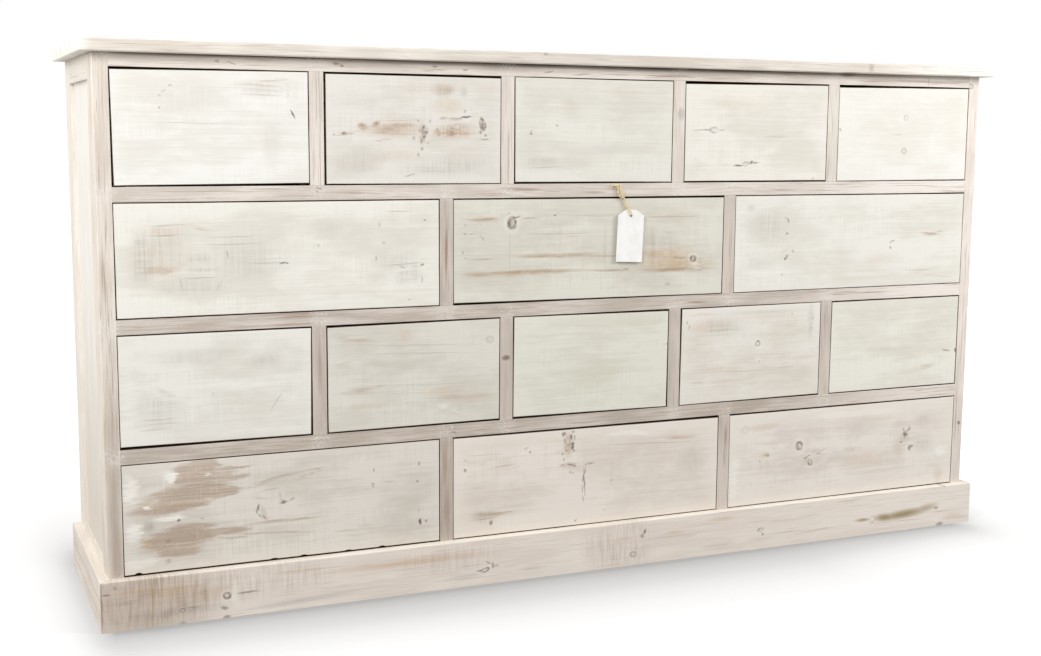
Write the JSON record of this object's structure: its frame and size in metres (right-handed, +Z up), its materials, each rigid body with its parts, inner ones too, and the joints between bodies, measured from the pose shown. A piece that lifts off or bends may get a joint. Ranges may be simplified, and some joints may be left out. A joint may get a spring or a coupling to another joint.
{
  "type": "chest of drawers",
  "caption": "Long low chest with rows of plain, handle-free wooden drawers behind a flush rail-and-divider front, on a plinth, with a planked top and a card tag on a string.",
  "frame": {"origin": "on the floor, below the middle of the chest's box", "axes": "+Z up, front faces -Y, +X to the right as seen from the front"},
  "size_m": [1.6, 0.35, 0.85],
  "materials": {
    "front_pine": "whitewashed, chalky",
    "frame_pine": "thin whitewash, matte",
    "plain_pine": "bare planed pine",
    "string": "twisted natural fibre",
    "card": "uncoated card"
  },
  "bodies": {
    "carcass": {"top_board": "frame_pine", "front_left_post": "frame_pine", "front_right_post": "frame_pine", "rear_left_post": "frame_pine", "rear_right_post": "frame_pine", "side_rails": "frame_pine", "left_side_panel": "frame_pine", "right_side_panel": "frame_pine", "front_top_rail": "frame_pine", "front_upper_rail": "frame_pine", "front_middle_rail": "frame_pine", "front_lower_rail": "frame_pine", "front_bottom_rail": "frame_pine", "dividers_row_1": "frame_pine", "dividers_row_2": "frame_pine", "dividers_row_3": "frame_pine", "dividers_row_4": "frame_pine", "plinth_front": "frame_pine", "plinth_left": "frame_pine", "plinth_right": "frame_pine", "back_rails": "plain_pine", "end_runners": "plain_pine", "centre_runners": "plain_pine", "drawer_guides": "plain_pine", "back_boards": "plain_pine"},
    "drawer_1_1": {"drawer_front_1_1": "front_pine", "drawer_box_1_1": "plain_pine"},
    "drawer_1_2": {"drawer_front_1_2": "front_pine", "drawer_box_1_2": "plain_pine"},
    "drawer_1_3": {"drawer_front_1_3": "front_pine", "drawer_box_1_3": "plain_pine"},
    "drawer_1_4": {"drawer_front_1_4": "front_pine", "drawer_box_1_4": "plain_pine"},
    "drawer_1_5": {"drawer_front_1_5": "front_pine", "drawer_box_1_5": "plain_pine"},
    "drawer_2_1": {"drawer_front_2_1": "front_pine", "drawer_box_2_1": "plain_pine"},
    "drawer_2_2": {"drawer_front_2_2": "front_pine", "drawer_box_2_2": "plain_pine"},
    "drawer_2_3": {"drawer_front_2_3": "front_pine", "drawer_box_2_3": "plain_pine"},
    "drawer_3_1": {"drawer_front_3_1": "front_pine", "drawer_box_3_1": "plain_pine"},
    "drawer_3_2": {"drawer_front_3_2": "front_pine", "drawer_box_3_2": "plain_pine"},
    "drawer_3_3": {"drawer_front_3_3": "front_pine", "drawer_box_3_3": "plain_pine"},
    "drawer_3_4": {"drawer_front_3_4": "front_pine", "drawer_box_3_4": "plain_pine"},
    "drawer_3_5": {"drawer_front_3_5": "front_pine", "drawer_box_3_5": "plain_pine"},
    "drawer_4_1": {"drawer_front_4_1": "front_pine", "drawer_box_4_1": "plain_pine"},
    "drawer_4_2": {"drawer_front_4_2": "front_pine", "drawer_box_4_2": "plain_pine"},
    "drawer_4_3": {"drawer_front_4_3": "front_pine", "drawer_box_4_3": "plain_pine"},
    "tag": {"string_knot": "string", "tag_string": "string", "swing_tag": "card"}
  },
  "joints": [
    {"name": "drawer_1_1_slide", "type": "slide", "parent": "carcass", "child": "drawer_1_1", "axis": [0, -1, 0], "range_m": [0, 0.23]},
    {"name": "drawer_1_2_slide", "type": "slide", "parent": "carcass", "child": "drawer_1_2", "axis": [0, -1, 0], "range_m": [0, 0.23]},
    {"name": "drawer_1_3_slide", "type": "slide", "parent": "carcass", "child": "drawer_1_3", "axis": [0, -1, 0], "range_m": [0, 0.23]},
    {"name": "drawer_1_4_slide", "type": "slide", "parent": "carcass", "child": "drawer_1_4", "axis": [0, -1, 0], "range_m": [0, 0.23]},
    {"name": "drawer_1_5_slide", "type": "slide", "parent": "carcass", "child": "drawer_1_5", "axis": [0, -1, 0], "range_m": [0, 0.23]},
    {"name": "drawer_2_1_slide", "type": "slide", "parent": "carcass", "child": "drawer_2_1", "axis": [0, -1, 0], "range_m": [0, 0.23]},
    {"name": "drawer_2_2_slide", "type": "slide", "parent": "carcass", "child": "drawer_2_2", "axis": [0, -1, 0], "range_m": [0, 0.23]},
    {"name": "drawer_2_3_slide", "type": "slide", "parent": "carcass", "child": "drawer_2_3", "axis": [0, -1, 0], "range_m": [0, 0.23]},
    {"name": "drawer_3_1_slide", "type": "slide", "parent": "carcass", "child": "drawer_3_1", "axis": [0, -1, 0], "range_m": [0, 0.23]},
    {"name": "drawer_3_2_slide", "type": "slide", "parent": "carcass", "child": "drawer_3_2", "axis": [0, -1, 0], "range_m": [0, 0.23]},
    {"name": "drawer_3_3_slide", "type": "slide", "parent": "carcass", "child": "drawer_3_3", "axis": [0, -1, 0], "range_m": [0, 0.23]},
    {"name": "drawer_3_4_slide", "type": "slide", "parent": "carcass", "child": "drawer_3_4", "axis": [0, -1, 0], "range_m": [0, 0.23]},
    {"name": "drawer_3_5_slide", "type": "slide", "parent": "carcass", "child": "drawer_3_5", "axis": [0, -1, 0], "range_m": [0, 0.23]},
    {"name": "drawer_4_1_slide", "type": "slide", "parent": "carcass", "child": "drawer_4_1", "axis": [0, -1, 0], "range_m": [0, 0.23]},
    {"name": "drawer_4_2_slide", "type": "slide", "parent": "carcass", "child": "drawer_4_2", "axis": [0, -1, 0], "range_m": [0, 0.23]},
    {"name": "drawer_4_3_slide", "type": "slide", "parent": "carcass", "child": "drawer_4_3", "axis": [0, -1, 0], "range_m": [0, 0.23]},
    {"name": "tag_swing", "type": "hinge", "parent": "carcass", "child": "tag", "pos_m": [0.042, -0.1616, 0.641], "axis": [-1, 0, 0], "range_deg": [0, 60]}
  ]
}
